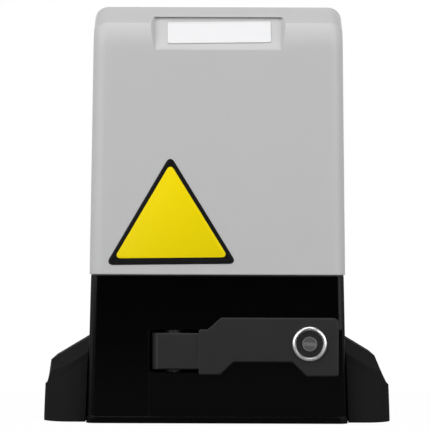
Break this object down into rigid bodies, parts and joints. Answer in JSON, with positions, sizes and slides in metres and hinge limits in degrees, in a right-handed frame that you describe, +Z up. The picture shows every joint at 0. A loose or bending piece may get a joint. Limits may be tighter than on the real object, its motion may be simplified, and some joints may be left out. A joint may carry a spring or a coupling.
{
  "type": "sliding gate motor",
  "caption": "Sliding gate motor: worm gearmotor under a tall cover, with a rack pinion at the back, covered bolt feet and a lockable manual release lever.",
  "frame": {"origin": "centre of the four base bolts, on the underside of the feet", "axes": "+X along the gate, +Y towards the gate and the pinion, +Z up out of the base"},
  "size_m": [0.27, 0.2166, 0.3236],
  "materials": {
    "body_paint": "aluminium die casting, gloss black enamel",
    "cover_plastic": "moulded ABS, light grey, fine satin grain",
    "wing_plastic": "moulded polypropylene, satin black",
    "lever_plastic": "glass-filled nylon, charcoal",
    "guard_plastic": "moulded plastic, black",
    "inner_plastic": "moulded plastic, dark grey",
    "seal_rubber": "nitrile rubber, black",
    "gasket_paper": "gasket paper, brown",
    "raw_casting": "aluminium die casting, bare",
    "zinc_steel": "zinc-plated steel",
    "bearing_steel": "ground bearing steel",
    "ground_steel": "ground carbon steel",
    "spring_steel": "spring steel",
    "stainless_steel": "stainless steel",
    "bronze": "tin bronze",
    "lamination_steel": "electrical sheet, varnished",
    "enamelled_copper": "enamelled copper wire",
    "bright_chrome": "chrome plate",
    "lock_black": "black anodised zinc",
    "lock_core_metal": "dark nickel plate",
    "board_laminate": "glass-epoxy board, green",
    "terminal_green": "moulded plastic, green",
    "relay_black": "moulded plastic, black",
    "fuse_glass": "glass tube fuse with nickel caps",
    "button_red": "moulded plastic, red",
    "trimmer_blue": "moulded plastic, blue",
    "coil_tape": "yellow coil tape",
    "capacitor_white": "moulded plastic, white"
  },
  "bodies": {
    "base": {"base_housing": "body_paint", "cover_seal": "seal_rubber", "gearbox_gasket": "gasket_paper", "gearbox_lid": "raw_casting", "gearbox_screws": "zinc_steel", "front_bearing": "bearing_steel", "rear_bearing": "bearing_steel", "shaft_seal": "seal_rubber", "worm_lower_bearing": "bearing_steel", "worm_upper_bearing": "bearing_steel", "motor_top_bearing": "bearing_steel", "stator_stack": "lamination_steel", "stator_windings": "enamelled_copper", "motor_lower_bell": "raw_casting", "motor_upper_bell": "raw_casting", "motor_tie_bolts": "zinc_steel", "lever_pivot_pin": "ground_steel", "top_cover": "cover_plastic", "cover_screws": "stainless_steel", "wing_cover_left": "wing_plastic", "wing_cover_right": "wing_plastic", "wing_screws": "zinc_steel", "board_tray": "inner_plastic", "housing_screws": "zinc_steel", "control_board": "board_laminate", "terminal_blocks": "terminal_green", "relays": "relay_black", "fuse_holder": "fuse_glass", "setting_cases": "relay_black", "transformer_core": "lamination_steel", "transformer_coil": "coil_tape", "capacitor": "capacitor_white", "capacitor_clip": "inner_plastic", "cable_gland": "seal_rubber", "pinion_guard": "guard_plastic", "limit_box": "guard_plastic", "limit_switches": "relay_black"},
    "output_train": {"output_shaft": "ground_steel", "worm_wheel": "bronze", "wheel_spacer": "ground_steel", "thrust_washer": "bronze", "pinion": "zinc_steel", "pinion_key": "ground_steel", "pinion_bolt": "zinc_steel", "clutch_spring": "spring_steel"},
    "clutch": {"clutch_slug": "ground_steel", "clutch_pin": "ground_steel"},
    "motor_rotor": {"worm_shaft": "ground_steel", "rotor_core": "lamination_steel"},
    "lever": {"release_lever": "lever_plastic", "lock_bezel": "bright_chrome", "lock_barrel": "lock_black"},
    "lock_core": {"lock_plug": "lock_core_metal", "lock_tongue": "zinc_steel"},
    "rod": {"release_rod": "ground_steel"},
    "limit_arm": {"limit_lever": "guard_plastic", "limit_spring": "spring_steel"},
    "learn_cap": {"learn_button": "button_red"},
    "trimmer_1": {"trimmer_knob_1": "trimmer_blue"},
    "trimmer_2": {"trimmer_knob_2": "trimmer_blue"}
  },
  "joints": [
    {"name": "output_spin", "type": "hinge", "parent": "base", "child": "output_train", "pos_m": [-0.0335, 0.02, 0.0555], "axis": [0, 1, 0], "continuous": true},
    {"name": "motor_spin", "type": "hinge", "parent": "base", "child": "motor_rotor", "pos_m": [0.0165, 0.02, 0.12], "axis": [0, 0, 1], "continuous": true},
    {"name": "lever_swing", "type": "hinge", "parent": "base", "child": "lever", "pos_m": [-0.0335, -0.076, 0.0555], "axis": [0, 0, -1], "range_deg": [0, 90]},
    {"name": "rod_push", "type": "slide", "parent": "base", "child": "rod", "axis": [0, 1, 0], "range_m": [0, 0.005]},
    {"name": "clutch_shift", "type": "slide", "parent": "output_train", "child": "clutch", "axis": [0, 1, 0], "range_m": [0, 0.005], "deforming": ["clutch_spring"]},
    {"name": "lock_turn", "type": "hinge", "parent": "lever", "child": "lock_core", "pos_m": [0.0709, -0.08, 0.0615], "axis": [0, 1, 0], "range_deg": [0, 90]},
    {"name": "limit_deflect", "type": "hinge", "parent": "base", "child": "limit_arm", "pos_m": [-0.0335, 0.076, 0.1295], "axis": [0, 0, 1], "range_deg": [-20, 20], "stiffness_Nm_per_rad": 0.5},
    {"name": "learn_press", "type": "slide", "parent": "base", "child": "learn_cap", "axis": [0, 1, 0], "range_m": [0, 0.0005], "stiffness_N_per_m": 800},
    {"name": "force_set", "type": "hinge", "parent": "base", "child": "trimmer_1", "pos_m": [0.006, -0.062, 0.244], "axis": [0, 1, 0], "range_deg": [-135, 135]},
    {"name": "pause_set", "type": "hinge", "parent": "base", "child": "trimmer_2", "pos_m": [0.02, -0.062, 0.244], "axis": [0, 1, 0], "range_deg": [-135, 135]}
  ],
  "couplings": [
    {"joint": "motor_spin", "follows": "output_spin", "ratio": 30},
    {"joint": "rod_push", "follows": "lever_swing", "m_per_rad": 0.0031831},
    {"joint": "clutch_shift", "follows": "lever_swing", "m_per_rad": 0.0031831}
  ]
}
